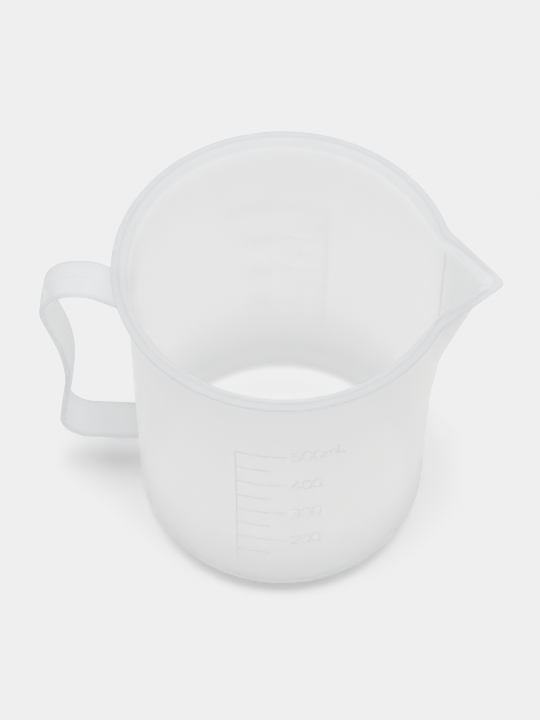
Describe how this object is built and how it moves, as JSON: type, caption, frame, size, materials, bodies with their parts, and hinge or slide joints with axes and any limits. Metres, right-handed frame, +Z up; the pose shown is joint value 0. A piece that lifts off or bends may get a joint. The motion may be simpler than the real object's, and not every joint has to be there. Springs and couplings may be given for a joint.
{
  "type": "resin mixing cup",
  "caption": "Translucent moulded measuring cup with a rolled rim, a V-shaped pouring spout, an open strap handle and a raised volume scale on two sides.",
  "frame": {"origin": "on the cup's axis, at the flat underside of the base", "axes": "+Z up along the cup's axis, +X towards the spout, the handle at -X, the XZ plane through the keel and the strap"},
  "size_m": [0.138, 0.1018, 0.1147],
  "materials": {
    "milky_plastic": "smooth moulded polypropylene, milky and translucent, with a soft satin sheen",
    "raised_marks": "the same milky polypropylene, raised and slightly rounded"
  },
  "bodies": {
    "root": {"cup_base": "milky_plastic", "cup_wall": "milky_plastic", "rolled_rim": "milky_plastic", "pour_spout": "milky_plastic", "handle_strap": "milky_plastic", "front_scale": "raised_marks", "front_numerals": "raised_marks", "back_scale": "raised_marks", "back_numerals": "raised_marks"}
  },
  "joints": []
}
